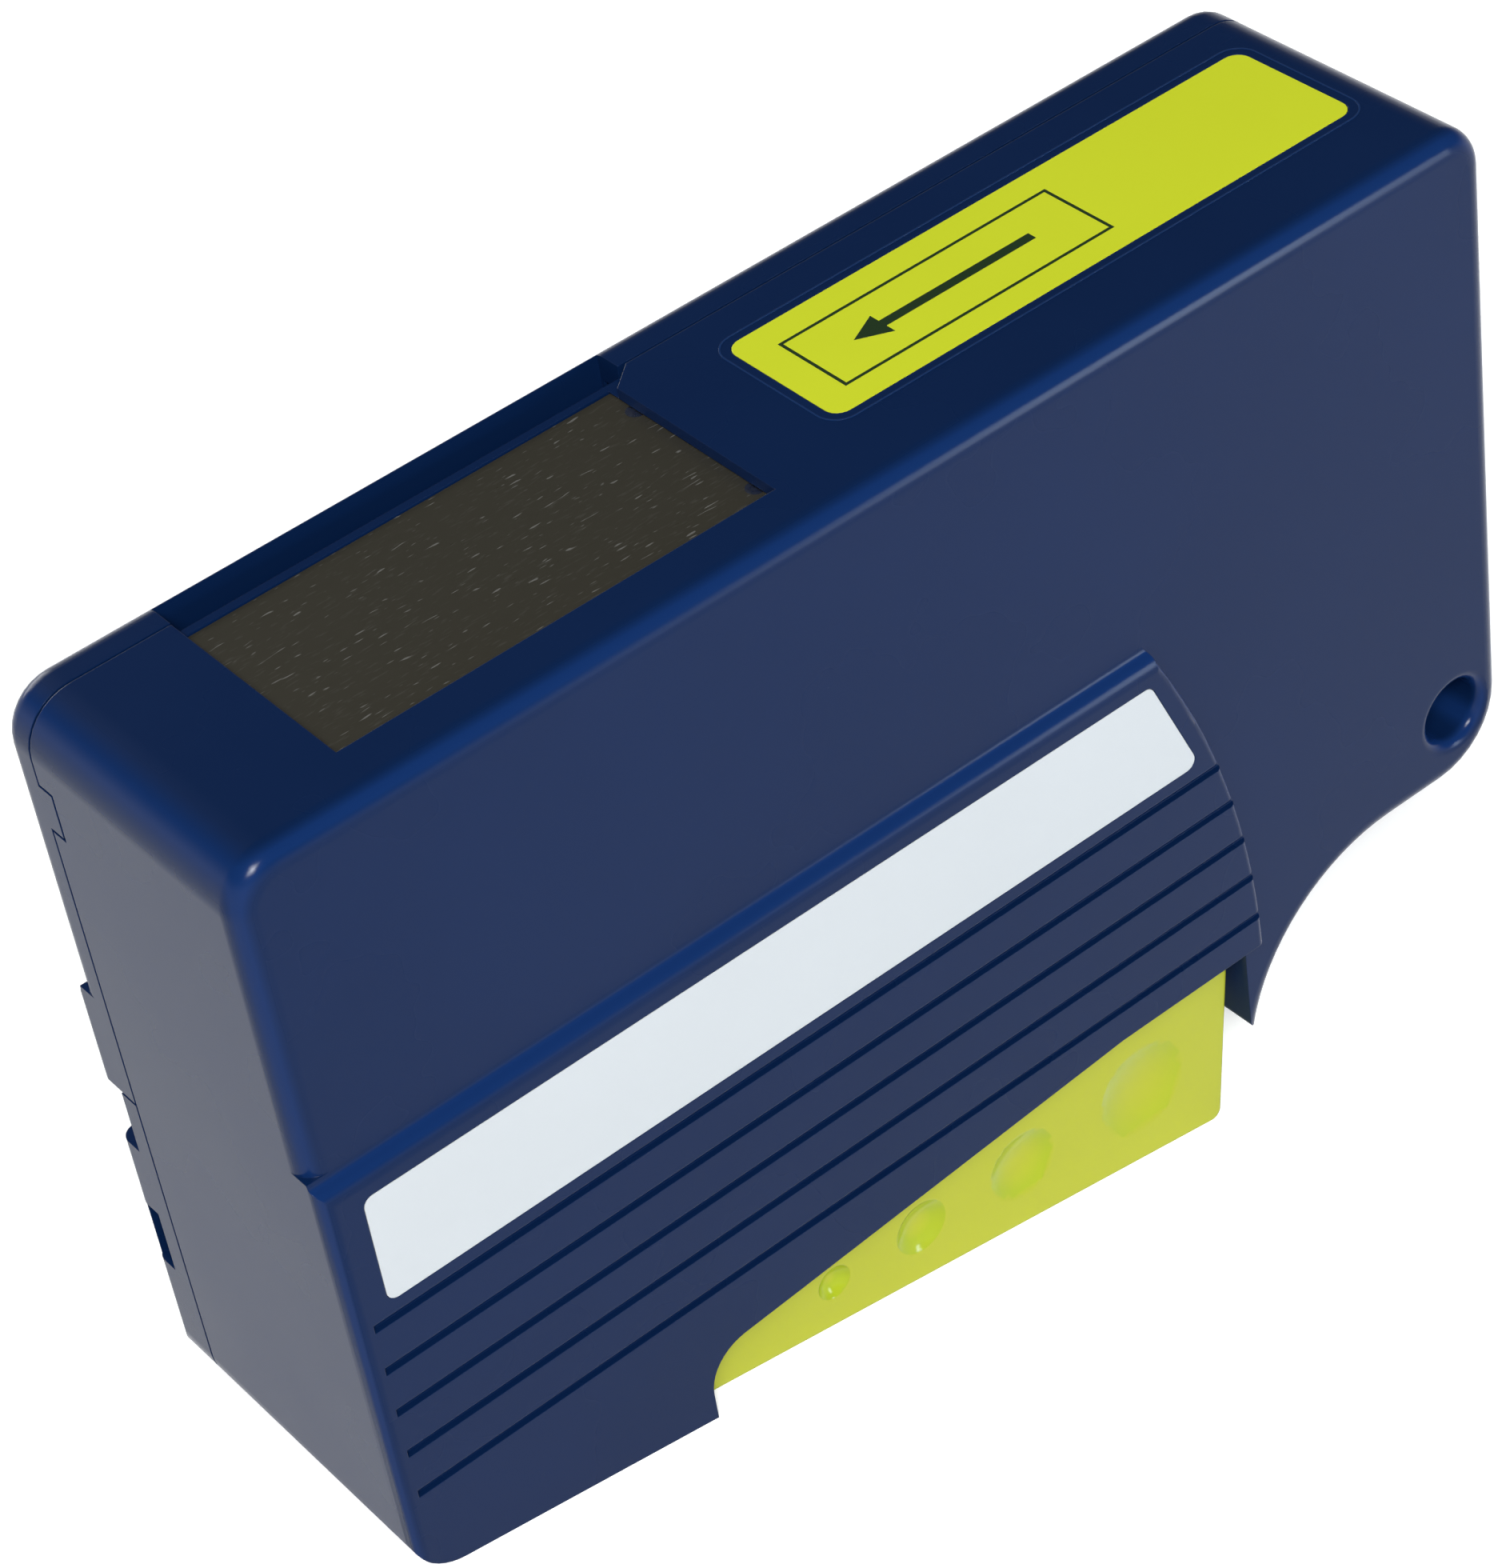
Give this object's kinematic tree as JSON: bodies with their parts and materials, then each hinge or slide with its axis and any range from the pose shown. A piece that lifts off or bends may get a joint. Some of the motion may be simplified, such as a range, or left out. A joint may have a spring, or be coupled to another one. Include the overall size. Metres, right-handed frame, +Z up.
{
  "type": "fibre optic connector cleaner",
  "caption": "Palm-held reel cleaner for fibre connectors: a squeeze lever slides a shutter open and winds fresh tape past a slotted window in the top.",
  "frame": {"origin": "middle of the base of the bounding box, on the floor that the foot and the lever stand on", "axes": "+X along the case towards the strap hole, +Y from the front face to the back, +Z up; the case leans 9.4 degrees, so its right end is raised"},
  "size_m": [0.1378, 0.0353, 0.0971],
  "materials": {
    "navy_shell": "satin moulded shell",
    "green_lever": "satin moulded lever",
    "white_label": "printed film",
    "yellow_label": "printed film",
    "shutter_steel": "dark brushed sheet",
    "steel": "bright",
    "spring_steel": "spring wire",
    "natural_plastic": "natural acetal",
    "grey_plastic": "moulded frame",
    "clear_reel": "moulded reel",
    "brass": "stamped",
    "cleaning_cloth": "woven microfibre tape",
    "felt": "felt",
    "rubber_pad": "soft pad",
    "dark_plastic": "moulded plate"
  },
  "bodies": {
    "housing": {"front_housing": "navy_shell", "rear_grip": "navy_shell", "housing_screws": "steel", "front_label": "white_label", "top_label": "yellow_label", "window_plate": "dark_plastic", "inner_plate": "grey_plastic", "inner_plate_screws": "steel", "gear_pins": "steel", "lever_pivot_pin": "steel", "supply_spindle": "grey_plastic", "brake_washer": "felt", "cartridge_front_frame": "grey_plastic", "cartridge_rear_frame": "grey_plastic", "cartridge_posts": "grey_plastic", "pad_holder": "grey_plastic", "cleaning_pad": "rubber_pad", "tape_guide_pins": "steel", "cleaning_tape": "cleaning_cloth", "door_hinge_pins": "steel", "lever_spring": "spring_steel", "holding_pawl_spring": "spring_steel"},
    "squeeze_lever": {"lever": "green_lever", "lever_rack": "natural_plastic"},
    "idler": {"idler_gear": "natural_plastic"},
    "drive_wheel": {"drive_gear": "natural_plastic", "drive_pawl_spring": "spring_steel"},
    "drive_pawl_arm": {"drive_pawl": "brass"},
    "holding_pawl_arm": {"holding_pawl": "brass"},
    "takeup": {"takeup_spindle": "natural_plastic", "ratchet_wheel": "natural_plastic", "takeup_reel": "clear_reel", "used_tape_roll": "cleaning_cloth"},
    "supply": {"supply_reel": "clear_reel", "fresh_tape_roll": "cleaning_cloth"},
    "shutter_wheel": {"shutter_gear": "natural_plastic"},
    "shutter": {"shutter_slide": "natural_plastic", "shutter_plate": "shutter_steel", "shutter_rivets": "steel"},
    "door": {"rear_door": "navy_shell"}
  },
  "joints": [
    {"name": "lever_squeeze", "type": "hinge", "parent": "housing", "child": "squeeze_lever", "pos_m": [-0.03825, 0, 0.0098], "axis": [0, -1, 0], "range_deg": [0, 10], "stiffness_Nm_per_rad": 0.6, "springref_deg": -28.65, "deforming": ["lever_spring"]},
    {"name": "idler_spin", "type": "hinge", "parent": "housing", "child": "idler", "pos_m": [0.04037, 0, 0.0421], "axis": [0, -1, 0], "range_deg": [-75.5, 0.5]},
    {"name": "drive_spin", "type": "hinge", "parent": "housing", "child": "drive_wheel", "pos_m": [0.03694, 0, 0.06989], "axis": [0, -1, 0], "range_deg": [-0.5, 42.17]},
    {"name": "shutter_gear_spin", "type": "hinge", "parent": "housing", "child": "shutter_wheel", "pos_m": [0.01313, 0, 0.07289], "axis": [0, -1, 0], "range_deg": [-125.5, 0.5]},
    {"name": "shutter_travel", "type": "slide", "parent": "housing", "child": "shutter", "axis": [0.9866, 0, 0.1633], "range_m": [-0.0001, 0.02628]},
    {"name": "takeup_spin", "type": "hinge", "parent": "housing", "child": "takeup", "pos_m": [0.03694, 0, 0.06989], "axis": [0, -1, 0], "continuous": true},
    {"name": "supply_spin", "type": "hinge", "parent": "housing", "child": "supply", "pos_m": [-0.03014, 0, 0.05878], "axis": [0, -1, 0], "continuous": true},
    {"name": "drive_pawl_lift", "type": "hinge", "parent": "drive_wheel", "child": "drive_pawl_arm", "pos_m": [0.03794, 0, 0.05692], "axis": [0, 1, 0], "range_deg": [0, 6], "stiffness_Nm_per_rad": 0.01, "springref_deg": -17.19, "deforming": ["drive_pawl_spring"]},
    {"name": "holding_pawl_lift", "type": "hinge", "parent": "housing", "child": "holding_pawl_arm", "pos_m": [0.04767, 0, 0.07723], "axis": [0, 1, 0], "range_deg": [0, 6], "stiffness_Nm_per_rad": 0.01, "springref_deg": -17.19, "deforming": ["holding_pawl_spring"]},
    {"name": "door_open", "type": "hinge", "parent": "housing", "child": "door", "pos_m": [0.0019, 0.01555, 0.0428], "axis": [-0.9866, 0, -0.1633], "range_deg": [0, 100]}
  ],
  "couplings": [
    {"joint": "idler_spin", "follows": "lever_squeeze", "ratio": -7.5},
    {"joint": "drive_spin", "follows": "lever_squeeze", "ratio": 4.1667},
    {"joint": "shutter_gear_spin", "follows": "lever_squeeze", "ratio": -12.5},
    {"joint": "shutter_travel", "follows": "lever_squeeze", "m_per_rad": 0.15},
    {"joint": "supply_spin", "follows": "takeup_spin", "ratio": -0.6}
  ]
}
